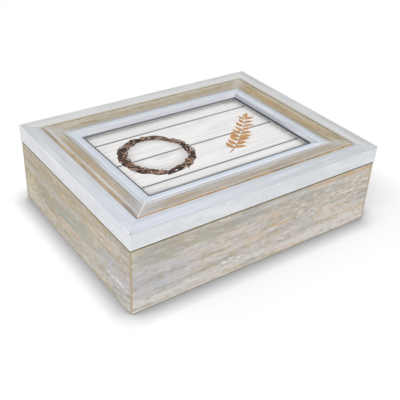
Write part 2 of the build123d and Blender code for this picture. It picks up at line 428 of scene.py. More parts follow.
@dataclass(frozen=True)
class WashedWall(SideFinish):
    """Whitewashed, brushed softwood on one wall of the box.

    Attributes:
        bare: the wood where the wash is thin.
        wash: the whitewash where it is thick.
        smoke: the cool grey of the wash's shadows.
        foot: the paler tone low down, painted light that offsets the shade near the floor.
        patches: tints at places of their own.
        arch: how strongly the grain lines arch, in 1/m.
        arch_at: the middle of that arch along the wall.
        pitted_from: where along the wall its pitted stretch begins.
        brow: height of the worn line under the lid; between it and the seam runs a dark line of painted
            shade.
        near_wear: width of the worn corner at the left or front end.
        far_wear: width of the worn corner at the right or back end.
    """

    bare: str = "#aaa08f"
    wash: str = "#d1cdc9"
    smoke: str = "#aaa9a7"
    foot: str = "#dbd7d2"
    patches: tuple[Patch, ...] = ()
    arch: float = 0.0
    arch_at: float = 0.0
    pitted_from: float = 9.0
    brow: float = 0.0012
    near_wear: float = 0.0014
    far_wear: float = 0.0014

    def make(self) -> bpy.types.Material:
        """Makes the finish.

        Returns:
            The wall's material.
        """
        recipe = SideRecipe("washed_wood", self.side)
        along, up = recipe.along, recipe.up
        depth = recipe.inset * 45 + self.seed
        wander = (recipe.noise(along * 8, up * 18, depth, 1) - 0.5) * 0.007
        off_arch = along - self.arch_at
        line = up + wander + off_arch * off_arch * self.arch
        fibre = recipe.noise(along * 75, line * 1250, depth, 3)
        streak = recipe.noise(along * 10, line * 190, depth + 3, 3)
        fine = recipe.noise(along * 50, line * 380, depth + 4, 3)
        fleck = recipe.noise(along * 200, line * 350, depth + 5, 4)
        broad = recipe.noise(along * 12, line * 150, depth + 7)
        cloud = recipe.noise(along * 18, line * 52, depth + 11)
        mottle = recipe.noise(along * 130, line * 265, depth + 13, 3)

        frayed = (fine * 0.4 + fleck * 0.4 + fibre * 0.2).step(0.38, 0.58)
        dashes = (streak * 0.3 + fleck * 0.3 + fine * 0.4).step(0.38, 0.62)
        colour = recipe.coat(
            self.bare,
            (self.wash, (streak * 0.4 + fine * 0.17 + broad * 0.15 + fleck * 0.28).step(0.39, 0.61)),
            ("#c6b894", mottle.step(0.50, 0.66, 0.36)),
            ("#bcbdc4", mottle.step(0.50, 0.34, 0.36)),
            (self.smoke, cloud.step(0.47, 0.66, 0.5)),
            ("#d2b9a4", broad.step(0.50, 0.64) * cloud.step(0.54, 0.40) * 0.6),
            *(patch.layer(along, up + wander, frayed) for patch in self.patches),
            # painted light: the paler tone low down offsets the shade near the floor
            (self.foot, up.step(0.026, 0.003) * (0.2 + dashes * 0.9) * 0.6),
            *self._flecks(recipe, depth, fleck, fibre),
            *self._wear(recipe, fibre),
            self._bare_faces(recipe, depth),
        )
        relief = fibre * 0.45 + streak * 0.3 + fleck * 0.25
        return recipe.surface(colour, 0.62 + fibre * 0.28, relief, 0.00022, specular=0.3)

    def _flecks(self, recipe: SideRecipe, depth: Wire, fleck: Wire, fibre: Wire) -> list[Layer]:
        """Adds the wash's short pale strokes and the dark pores and pits between them.

        Args:
            recipe: the finish being made.
            depth: the grain's seed, which moves with the inset.
            fleck: short strokes.
            fibre: the finest streaks.

        Returns:
            Their coats.
        """
        along, up = recipe.along, recipe.up
        stroke = recipe.noise(along * 70, up * 380, depth + 23)
        pit = recipe.noise(along * 150, up * 420, depth + 41)
        pitted = along.step(self.pitted_from, self.pitted_from + 0.03) * up.band(0.024, 0.046, 0.006)
        return [
            ("#e6e3df", stroke.step(0.54, 0.66) * fibre.step(0.36, 0.58) * 0.36),
            ("#968b73", fleck.step(0.43, 0.33) * fibre.step(0.60, 0.42) * 0.24),
            ("#8f846e", fibre.step(0.40, 0.28, 0.2)),
            ("#8b8567", pit.step(0.55, 0.66) * pitted * 0.36),
            ("#ece9e3", pit.step(0.46, 0.37) * pitted * 0.4),
        ]

    def _wear(self, recipe: SideRecipe, fibre: Wire) -> list[Layer]:
        """Wears the edges and paints shade under the lid.

        Args:
            recipe: the finish being made.
            fibre: fine streaks that break the wear up.

        Returns:
            Coats for ochre corners, a thin ochre foot and a dark line of painted shade at the seam.
        """
        along, up = recipe.along, recipe.up
        half = self.side.half_length - WALL_OUTER
        wobble = (recipe.noise(up * 70, along * 40, self.seed) - 0.5) * 0.0012
        near = (along + half + wobble).step(self.near_wear, self.near_wear * 0.35)
        far = (half - along + wobble).step(self.far_wear, self.far_wear * 0.35)
        drop = SEAM - up + wobble * 0.6
        return [
            ("#a8956a", (near + far).capped() * (0.45 + fibre * 0.7)),
            ("#c9b68c", (up + wobble).step(0.0014, 0.0005, 0.7)),
            ("#a3956f", drop.step(self.brow * 1.7, self.brow, 0.8)),
            # painted shade: a dark line under the lid, at the seam
            ("#5f5538", drop.step(self.brow, self.brow * 0.7, 0.85)),
            ("#4a3f2c", (SEAM - up).step(0.00055, 0.0004)),
        ]

    def _bare_faces(self, recipe: SideRecipe, depth: Wire) -> Layer:
        """Leaves the inner face, the rim and the underside in bare, pale wood.

        Args:
            recipe: the finish being made.
            depth: the grain's seed, which moves with the inset.

        Returns:
            The coat of bare wood.
        """
        along, up, inset = recipe.along, recipe.up, recipe.inset
        rings = recipe.noise(along * 7, up * 210, depth + 31, 3)
        smudge = recipe.noise(along * 60, inset * 300, depth + 37)
        rim = up.step(SEAM - 0.00012, SEAM - 0.00002) * inset.step(0.0012, 0.0016)
        rim = rim * (0.7 + smudge.step(0.6, 0.4, 0.3))
        inner = inset.step(WALL_INNER - 0.0003, WALL_INNER - 0.00005)
        wood = recipe.coat("#d9c4a0", ("#b99a6f", rings.step(0.40, 0.66)))
        return wood, (rim + inner + up.step(0.0001, 0.00002)).capped()


@dataclass(frozen=True)
class WhitePaint(SideFinish):
    """Brushed white paint on one outer rail of the lid.

    Attributes:
        top: the paint's colour on the top.
        outer: its colour towards the outer edge of the top, darker on the right and back rails as painted
            shade.
        hollow: its colour at the groove, where the wood's tone comes through.
        edge: its colour on the rounded edge itself: grey, painted shade, on most rails, and pale, a painted
            highlight, on the left rail.
        face: its colour on the upright face.
        trough: how strongly a cool line of painted shade shows beside the groove.
        near_end: 1 for a rail whose left or front end is knocked, and whose top grows paler and bluer towards
            that end and greyer towards the other, or 0.
    """

    top: str
    outer: str
    hollow: str
    edge: str = "#b3b7bc"
    face: str = "#dadcde"
    trough: float = 0.0
    near_end: float = 0.0

    def make(self) -> bpy.types.Material:
        """Makes the finish.

        Returns:
            The rail's material.
        """
        recipe = SideRecipe("white_paint", self.side)
        inset, along, up = recipe.inset, recipe.along, recipe.up
        brush = recipe.noise(along * 22, inset * 900, up * 120 + self.seed, 3)
        grain = recipe.noise(along * 330, up * 110, inset * 40 + self.seed, 3)
        drift = recipe.noise(along * 26, inset * 180, up * 90 + self.seed + 5)
        mottle = recipe.noise(along * 110, up * 150, inset * 40 + self.seed + 9)
        sway = drift - 0.5

        # the top grows paler and bluer towards the near end and greyer towards the far end, where the
        # groove's wear widens
        turn = along * -self.near_end + sway * 0.04
        thin = turn.step(0.010, -0.090, self.near_end)
        top = recipe.coat(
            self.top,
            (self.outer, inset.step(0.0070, 0.0030, 0.75)),
            ("#e2e8f6", turn.step(-0.010, 0.090, self.near_end) * 0.70),
            ("#c6c9ce", thin * 0.55),
            ("#bbbfc7", brush.step(0.46, 0.70, 0.55)),
            ("#e3e6ee", drift.step(0.46, 0.66, 0.50)),
            # painted shade: a cool line on the top beside the groove
            ("#c0c7d1", (inset + drift * 0.002).band(GROOVE - 0.0031, GROOVE - 0.0011, 0.0004) * self.trough),
        )
        face = recipe.coat(
            self.face,
            ("#c6c9cc", grain.step(0.48, 0.70, 0.25)),
            ("#e8eaee", drift.step(0.46, 0.66, 0.5)),
            ("#ced1d3", mottle.step(0.50, 0.66, 0.4)),
        )
        edge = up.band(LID_TOP - 0.0009, LID_TOP - 0.0001, 0.0003) * inset.step(0.0011, 0.0004)
        corner = (recipe.mitre + (LID_TOP - up)).step(0.0016, 0.0008) * inset.step(0.0010, 0.0005)
        worn = inset + sway * 0.001 + thin * 0.0008
        # painted shade darkens the bottom of the groove
        groove_shade = inset.step(GROOVE - 0.0005, GROOVE - 0.00002) * up.step(LID_TOP - 0.0015, LID_TOP - 0.0008)
        within = inset.step(GROOVE - 0.0003, GROOVE - 0.0001) * up.step(BARE_BELOW, BARE_BELOW - 0.0001)
        colour = recipe.coat(
            face,
            (top, up.step(LID_TOP - 0.0007, LID_TOP - 0.0002)),
            # the rounded edge: painted shade where its colour is grey, a painted highlight where it is pale
            (self.edge, edge * (0.35 + drift.step(0.4, 0.6, 0.4))),
            ("#9da1a6", corner * (along * -self.near_end).step(0.05, 0.07) * 0.8),
            (self.hollow, worn.step(GROOVE - 0.0019, GROOVE - 0.0007, 0.75)),
            ("#83796a", groove_shade * 0.75),
            ("#b7ab93", up.step(SEAM + 0.0009, SEAM + 0.0004) * brush.step(0.45, 0.6) * 0.35),
            ("#b3b2b0", recipe.mitre.step(0.00022, 0.00006) * drift.step(0.35, 0.55) * 0.35),
            (recipe.bare_wood(self.seed), (up.step(SEAM + 0.0001, SEAM + 0.00002) + within).capped()),
        )
        relief = brush * 0.6 + grain * 0.25 + drift * 0.15
        return recipe.surface(colour, 0.48 + brush * 0.22, relief, 0.00010, specular=0.35)


@dataclass(frozen=True)
class WashedMoulding(SideFinish):
    """Washed, rubbed-back moulding on one side of the lid.

    Attributes:
        bare: the wood where the wash is rubbed off.
        wash: the wash.
        flank: the worn wood of the groove's flank.
        worn_to: the inset at which that wear ends.
        ridge: the insets between which the ridge is rubbed pale and lit by a painted highlight.
        ridge_tone: the pale wash and painted highlight on the ridge.
        bead: the pale wash on the bead.
        ring: the ring's paint, which laps over the bead.
        lap_at: the inset at which that lap begins.
        patches: tints at places of their own: along the side, and inset.
        inner: the greyer tone towards the picture, painted shade where the cove dips.
        worn_swell: how much the end of the flank's wear wanders along the side.
        flank_shade: the greyer tone in that worn wood.
        flank_foot: how dark the painted shade at the foot of that flank is.
        foot_cover: how much of that foot the rail's paint covers.
        end_tone: the thicker wash at the front left corner.
        end_flank: the tone of the groove's flank there.
        end_reach: how far from the corner that wash goes, or 0 for a side that isn't there.
    """

    bare: str
    wash: str
    flank: str
    worn_to: float
    ridge: tuple[float, float]
    ridge_tone: str
    bead: str
    ring: str
    lap_at: float
    patches: tuple[Patch, ...]
    inner: str = "#c0bebd"
    worn_swell: float = 0.0
    flank_shade: str = "#9b8d7a"
    flank_foot: float = 0.5
    foot_cover: float = 0.0
    end_tone: str = "#c4c3c5"
    end_flank: str = "#948e8a"
    end_reach: float = 0.0

    def make(self) -> bpy.types.Material:
        """Makes the finish.

        Returns:
            The moulding's material.
        """
        recipe = SideRecipe("washed_moulding", self.side)
        inset, along, up, mitre = recipe.inset, recipe.along, recipe.up, recipe.mitre
        line = inset + (recipe.noise(along * 14, inset * 60, self.seed, 1) - 0.5) * 0.0022
        fibre = recipe.noise(along * 42, line * 1500, self.seed + 2, 3)
        streak = recipe.noise(along * 24, line * 520, self.seed + 4)
        broad = recipe.noise(along * 22, line * 170, self.seed + 8)
        speck = recipe.noise(along * 210, line * 430, self.seed + 10, 3)

        cover = (streak * 0.35 + broad * 0.2 + fibre * 0.2 + speck * 0.25).step(0.41, 0.59)
        frayed = (streak * 0.5 + fibre * 0.5).step(0.36, 0.54)
        at_end = (mitre + (broad - 0.5) * 0.008).step(self.end_reach, self.end_reach * 0.35)
        at_end = at_end * along.step(-0.02, -0.04, 1.0 if self.end_reach else 0.0)
        ridge = (inset + (streak - 0.5) * 0.0006).band(self.ridge[0], self.ridge[1], 0.0003)
        pale = broad.step(0.38, 0.58)
        rubbed_pale = 0.15 + pale * 0.35 + speck.step(0.34, 0.50, 0.3)
        flank, worn = self._flank(recipe, at_end)
        filled = (mitre + (streak - 0.5) * 0.0012).step(0.0014, 0.0003)
        colour = recipe.coat(
            self.bare,
            (self.wash, cover),
            *(patch.layer(along, line, frayed) for patch in self.patches),
            # painted shade: greyer towards the picture, where the cove dips
            (self.inner, line.step(0.0212, 0.0250, 0.65)),
            ("#8b7d66", fibre.step(0.42, 0.30, 0.5)),
            ("#e0dcd6", fibre.step(0.56, 0.70, 0.4)),
            (self.end_tone, at_end * (0.45 + cover * 0.35)),
            # the ridge: rubbed pale, and partly a painted highlight
            (self.ridge_tone, ridge * rubbed_pale),
            (self.bead, (line - self.lap_at).step(-0.0028, -0.0017) * (0.55 + pale * 0.4)),
            # painted shade: a thin grey line at the small step down before the ring
            ("#a9aaaf", inset.band(self.lap_at - 0.0005, self.lap_at - 0.0001, 0.0002) * 0.75),
            (self.ring, inset.step(self.lap_at, self.lap_at + 0.0003)),
            (worn, flank),
            ("#c9c8c6", mitre.step(0.011, 0.0, 0.5) * inset.step(GROOVE + 0.0006, GROOVE + 0.0010)),
            ("#dddcda", mitre.step(0.0005, 0.00012, 0.6)),
            ("#e1e4e9", filled * at_end * inset.step(GROOVE + 0.0007, GROOVE + 0.0013) * 0.8),
            (recipe.bare_wood(self.seed), up.step(BARE_BELOW, BARE_BELOW - 0.0001)),
        )
        relief = fibre * 0.6 + streak * 0.4
        return recipe.surface(colour, 0.58 + fibre * 0.26, relief, 0.00016, specular=0.3)

    def _flank(self, recipe: SideRecipe, at_end: Wire) -> tuple[Wire, Wire]:
        """Wears the flank of the groove beside the rail, and paints shade at its foot.

        Args:
            recipe: the finish being made.
            at_end: 1 at the front left corner.

        Returns:
            Where the flank is, and the colour of its worn wood, with painted shade at its foot.
        """
        inset, along = recipe.inset, recipe.along
        rubbed = recipe.noise(along * 30, recipe.up * 200, self.seed + 12)
        swell = recipe.noise(along * 16, self.seed, 0.0, 1)
        chips = recipe.noise(along * 130, inset * 700, self.seed + 15, 3)
        edge = self.worn_to + (rubbed - 0.5) * 0.0016 + (swell - 0.5) * self.worn_swell
        worn = recipe.coat(
            self.flank_shade,
            (self.flank, rubbed.step(0.38, 0.55)),
            ("#857258", chips.step(0.50, 0.36, 0.5)),
            ("#d6cdc2", chips.step(0.54, 0.68, 0.45)),
            # painted shade at the foot of the flank, in the bottom of the groove
            ("#5f5444", inset.step(GROOVE + 0.0003, GROOVE + 0.00002, self.flank_foot)),
            ("#c2bdb6", inset.step(GROOVE + 0.0007, GROOVE + 0.0003, self.foot_cover)),
            (self.end_flank, at_end * 0.85),
        )
        return (inset - edge).step(0.00015, -0.00015), worn


@dataclass(frozen=True)
class PaleRing(SideFinish):
    """Smooth, bluish white paint on one side of the sight ring, with painted shade in its low tone and on its
    dark inner ledge.

    Attributes:
        paint: the paint.
        low: its darker tone towards the ledge, painted shade.
        brink: its tone at the outer edge, by the moulding, darker on the right and back as painted shade.
        streak: the tone of its lengthwise marks.
        lit_to: the inset at which the painted shade of its low tone begins.
        rim: the dark tone of its inner ledge, painted shade for the gap round the glass.
        rim_from: the inset at which that tone begins.
    """

    paint: str
    low: str
    brink: str = "#e6eef8"
    streak: str = "#b9bfca"
    lit_to: float = 0.0300
    rim: str = "#36373d"
    rim_from: float = 0.03585

    def make(self) -> bpy.types.Material:
        """Makes the finish.

        Returns:
            The ring's material.
        """
        recipe = SideRecipe("pale_ring", self.side)
        inset, along, up = recipe.inset, recipe.along, recipe.up
        brush = recipe.noise(along * 24, inset * 1000, self.seed, 3)
        drift = recipe.noise(along * 18, inset * 240, self.seed + 5)
        smear = recipe.noise(along * 90, inset * 600, self.seed + 9)
        low_shade = (inset + (drift - 0.5) * 0.001).step(self.lit_to, self.lit_to * 0.3 + 0.0255)
        # painted shade: the ledge round the glass is dark, and its lip wall greys and pales down to the glass
        ledge = recipe.coat(
            self.rim,
            ("#5b5c63", smear.step(0.35, 0.65)),
            ("#66666b", up.step(LEDGE_TOP + 0.00015, LEDGE_TOP)),
            ("#b9b9bb", up.step(LEDGE_TOP - 0.00005, GLASS_TOP + 0.0001)),
        )
        colour = recipe.coat(
            self.paint,
            # painted shade: the darker low tone towards the ledge
            (self.low, low_shade),
            # painted shade: the outer edge of the ring is darker on the right and back
            (self.brink, inset.step(0.0312, 0.0292, 0.8)),
            (self.streak, brush.step(0.50, 0.72, 0.45)),
            ("#edf2f8", drift.step(0.50, 0.68, 0.5)),
            ("#e9eef5", recipe.mitre.step(0.0004, 0.0001, 0.5)),
            (ledge, inset.step(self.rim_from, self.rim_from + 0.0004)),
            ("#e6e5e4", up.step(GLASS_TOP + 0.00005, GLASS_TOP - 0.00005)),
            (recipe.bare_wood(self.seed), up.step(RING_UNDERSIDE, RING_UNDERSIDE - 0.0001)),
        )
        return recipe.surface(colour, 0.38 + brush * 0.2, brush, 0.00006, specular=0.45)


@dataclass(frozen=True)
class RawBoard:
    """Bare fibreboard: pressed brown fibres with a faint felted bloom.

    Attributes:
        name: the material's name.
        dark: the darker fibres.
        light: the paler fibres.
        seed: moves the pattern.
    """

    name: str
    dark: str = "#7d6143"
    light: str = "#a98a64"
    seed: float = 0.0

    def make(self) -> bpy.types.Material:
        """Makes the finish.

        Returns:
            The board's material.
        """
        recipe = Recipe(self.name)
        x, y, z = recipe.place()
        z = z * 900 + self.seed
        felt = recipe.noise(x * 900, y * 900, z, 4)
        chips = recipe.noise(x * 420, y * 640, z + 5, 3)
        bloom = recipe.noise(x * 25, y * 25, self.seed + 9)
        colour = recipe.coat(
            self.dark,
            (self.light, felt.step(0.34, 0.66)),
            ("#6a5137", chips.step(0.42, 0.30, 0.3)),
            ("#bfa17a", bloom.step(0.46, 0.70, 0.3)),
        )
        return recipe.surface(colour, 0.72 + felt * 0.2, felt * 0.6 + chips * 0.4, 0.00012, specular=0.25)


class Metal(Enum):
    """The metals of the fittings: colour, darker tone, roughness."""

    BRASS = ("#d8c08f", "#a58a5c", 0.30)
    STEEL = ("#bfc1c4", "#84868a", 0.30)
    ZINC = ("#c4c8cc", "#8f949a", 0.36)


@dataclass(frozen=True)
class Fitting:
    """Rolled and tumbled sheet or wire metal.

    Attributes:
        name: the material's name.
        kind: which metal.
        seed: moves the marks.
    """

    name: str
    kind: Metal
    seed: float

    def make(self) -> bpy.types.Material:
        """Makes the finish.

        Returns:
            The metal's material.
        """
        bright, dull, rough = self.kind.value
        recipe = Recipe(self.name)
        x, y, z = recipe.place()
        rolled = recipe.noise(x * 180, y * 3200, z * 3200 + self.seed)
        tarnish = recipe.noise(x * 260, y * 260, z * 260 + self.seed, 3)
        scratch = recipe.noise(x * 2600, y * 350, z * 900 + self.seed + 4)
        tarnished, scratched = tarnish.step(0.48, 0.74, 0.7), scratch.step(0.60, 0.74, 0.4)
        colour = recipe.coat(bright, (dull, tarnished), (dull, scratched))
        roughness = rough + rolled * 0.16 + tarnish.step(0.45, 0.75, 0.18)
        return recipe.surface(colour, roughness, rolled * 0.7 + scratch * 0.3, 0.00003, metallic=1.0)


@dataclass(frozen=True)
class PictureGlass:
    """Clear picture glass that lets the lamps through to the print.

    Attributes:
        bend: the glass's index of refraction, for its reflections.
        shine: how much of those reflections an anti-glare coat leaves.
        clear: how much light comes through.
    """

    bend: float = 1.46
    shine: float = 0.22
    clear: float = 0.997

    def make(self) -> bpy.types.Material:
        """Makes the finish.

        Returns:
            The glass's material.
        """
        recipe = Recipe("picture_glass")
        x, y, z = recipe.place()
        smear = recipe.noise(x * 40, y * 24, z)
        from_behind = recipe.node("NewGeometry", out="Backfacing")
        mirrored = recipe.node("Fresnel", {"IOR": self.bend}) * (1.0 - from_behind) * self.shine
        clear = recipe.node("BsdfTransparent", {"Color": (self.clear,) * 3 + (1.0,)})
        inputs = {"Base Color": (1.0, 1.0, 1.0, 1.0), "Metallic": 1.0, "Roughness": 0.015 + smear * 0.03}
        gloss = recipe.node("BsdfPrincipled", inputs)
        return recipe.end(recipe.node("MixShader", {0: mirrored, 1: clear, 2: gloss}))


@dataclass(frozen=True)
class PaintedBoards:
    """The card's printed ground: white painted boards with thin dark joints, and a painted shadow of the
    frame's front lip.

    Attributes:
        joints: where the joints lie, from front to back.
        shadow_at: the middle of the soft shadow inside the wreath.
        shadow_reach: how far that shadow reaches.
        lip_at: where the front lip of the frame stands over the card; a painted shadow of the lip darkens the
            card there and fades out 3 mm further back.
    """

    joints: tuple[float, ...]
    shadow_at: tuple[float, float]
    shadow_reach: float
    lip_at: float = -0.0445

    def make(self) -> bpy.types.Material:
        """Makes the finish.

        Returns:
            The printed card's material.
        """
        recipe = Recipe("printed_boards")
        x, y, _ = recipe.place()
        grain = recipe.noise(x * 26, y * 900, 1.5, 3)
        drift = recipe.noise(x * 16, y * 160, 4.5)
        knots = recipe.noise(x * 34, y * 90, 7.5, 3)
        joints = []
        for place in self.joints:
            off = (y - place + (drift - 0.5) * 0.0004).size()
            joints.append(("#a5a19f", off.step(0.0024, 0.0002, 0.4)))
            joints.append(("#3f3a38", off.step(0.00085, 0.00040, 0.9)))
        off_x = (x - self.shadow_at[0]) * (1 / self.shadow_reach)
        off_y = (y - self.shadow_at[1]) * (1 / self.shadow_reach)
        colour = recipe.coat(
            "#fbfaf9",
            ("#dfddda", grain.step(0.48, 0.70, 0.55)),
            ("#edebe8", drift.step(0.48, 0.68, 0.55)),
            ("#d4d1cd", knots.step(0.56, 0.72, 0.45)),
            *joints,
            ("#a79c97", (off_x * off_x + off_y * off_y).band(0.55, 1.0, 0.32) * 0.55),
            # painted shadow of the frame's front lip on the card
            ("#707074", y.step(self.lip_at + 0.0030, self.lip_at, 0.8)),
        )
        return recipe.surface(colour, 0.42 + grain * 0.12, grain, 0.00002, specular=0.4)


@dataclass(frozen=True)
class PrintInk:
    """Printed colour that a mesh carries in its own colour attribute.

    Attributes:
        attribute: the colour attribute's name.
    """

    attribute: str = "ink"

    def make(self) -> bpy.types.Material:
        """Makes the finish.

        Returns:
            The ink's material.
        """
        recipe = Recipe("print_ink")
        x, y, _ = recipe.place()
        grain = recipe.noise(x * 900, y * 900, 2.0)
        ink = recipe.node("VertexColor", layer_name=self.attribute)
        colour = recipe.coat(ink, ("#2c1d16", grain.step(0.52, 0.72, 0.35)))
        return recipe.surface(colour, 0.58 + grain * 0.1, grain, 0.00002, specular=0.1)


def dress(node: str, material: bpy.types.Material) -> str:
    """Gives a CAD node a finish in place of its plain one.

    Args:
        node: its name.
        material: the finish.

    Returns:
        The node's name.
    """
    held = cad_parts[node].data.materials
    held.clear()
    held.append(material)
    return node


def dress_sides(names: str, finishes: tuple[SideFinish, ...]) -> list[str]:
    """Dresses the pieces of one kind, named with {} for the side, and returns their names."""
    return [dress(names.format(finish.side.value), finish.make()) for finish in finishes]


@dataclass
class BoxBody:
    """The four mitred walls, the bottom board and its brads.

    Attributes:
        walls: the walls' finishes.
        board: the bottom board's finish.
        brads: the brads' finish.
    """

    walls: tuple[WashedWall, ...] = (
        WashedWall(
            Side.FRONT, seed=2.0, pitted_from=0.005, brow=0.0011, near_wear=0.0013, far_wear=0.0028,
            patches=(
                Patch(-0.084, 0.0430, 0.034, 0.0075, "#9e9b8f", 0.85),
                Patch(-0.042, 0.0440, 0.032, 0.0055, "#a9a591", 0.65),
                Patch(-0.060, 0.0315, 0.034, 0.0055, "#cbc2bc", 0.60),
                Patch(-0.035, 0.0250, 0.010, 0.0012, "#c2a675", 0.85),
                Patch(-0.006, 0.0235, 0.016, 0.0030, "#d3b698", 0.75),
                Patch(0.015, 0.0272, 0.013, 0.0022, "#d2b08c", 0.80),
                Patch(0.012, 0.0200, 0.022, 0.0016, "#cbb699", 0.60),
                Patch(-0.030, 0.0132, 0.008, 0.0022, "#f2f4f6", 1.00),
                Patch(-0.019, 0.0118, 0.006, 0.0014, "#f0f1f2", 1.00),
                Patch(-0.094, 0.0225, 0.042, 0.0170, "#b4b5bd", 0.85),
                Patch(0.078, 0.0502, 0.046, 0.0022, "#c5a47c", 1.00),
                Patch(0.103, 0.0430, 0.012, 0.0014, "#d0ac86", 0.80),
                Patch(0.078, 0.0115, 0.016, 0.0018, "#dfb894", 0.85),
                Patch(0.103, 0.0130, 0.010, 0.0014, "#dcb890", 0.85),
                Patch(0.080, 0.0070, 0.050, 0.0090, "#ddd5cc", 0.75),
                Patch(0.040, 0.0380, 0.040, 0.0070, "#b8b2a2", 0.60),
                Patch(0.072, 0.0330, 0.040, 0.0100, "#c9c3bc", 0.45),
                Patch(-0.020, 0.0030, 0.060, 0.0026, "#cbc1a9", 0.55),
                Patch(-0.108, 0.0015, 0.005, 0.0014, "#f0f2f4", 1.00),
            ),
        ),
        WashedWall(Side.RIGHT, seed=9.0, far_wear=0.002),
        WashedWall(Side.BACK, seed=15.0),
        WashedWall(
            Side.LEFT, seed=23.0, bare="#a3977e", wash="#c6c0b6", smoke="#a8a9a3", foot="#cfc9be",
            arch=-1.2, arch_at=0.02, brow=0.0016, near_wear=0.0012, far_wear=0.0030,
            patches=(
                Patch(0.020, 0.0430, 0.075, 0.0100, "#b4a68a", 0.75),
                Patch(0.018, 0.0225, 0.050, 0.0036, "#a6aaa3", 0.85),
                Patch(0.035, 0.0105, 0.019, 0.0032, "#cab288", 0.80),
                Patch(-0.005, 0.0135, 0.046, 0.0017, "#d5bda2", 0.95, lean=-0.085),
                Patch(0.072, 0.0190, 0.016, 0.0150, "#cdc29d", 0.90),
                Patch(-0.022, 0.0090, 0.026, 0.0080, "#c6c5cb", 0.55),
                Patch(-0.066, 0.0190, 0.034, 0.0190, "#b9bac3", 0.85),
                Patch(-0.063, 0.0170, 0.026, 0.0024, "#d9dbe3", 0.95, lean=-0.05),
                Patch(-0.055, 0.0018, 0.007, 0.0015, "#f2f3f8", 1.00),
                Patch(-0.048, 0.0388, 0.046, 0.0012, "#d6c4ae", 0.95),
                Patch(-0.045, 0.0352, 0.040, 0.0010, "#b89f80", 0.80),
            ),
        ),
    )
    board: RawBoard = RawBoard("bottom_board", "#8b6f4e", "#b5976f", seed=3.0)
    brads: Fitting = Fitting("brad_steel", Metal.STEEL, seed=2.0)

    def build(self) -> list[str]:
        """Dresses the box's own pieces.

        Returns:
            What was dressed.
        """
        done = dress_sides("{}_panel", self.walls)
        return done + [dress("bottom_panel", self.board.make()), dress("bottom_brads", self.brads.make())]


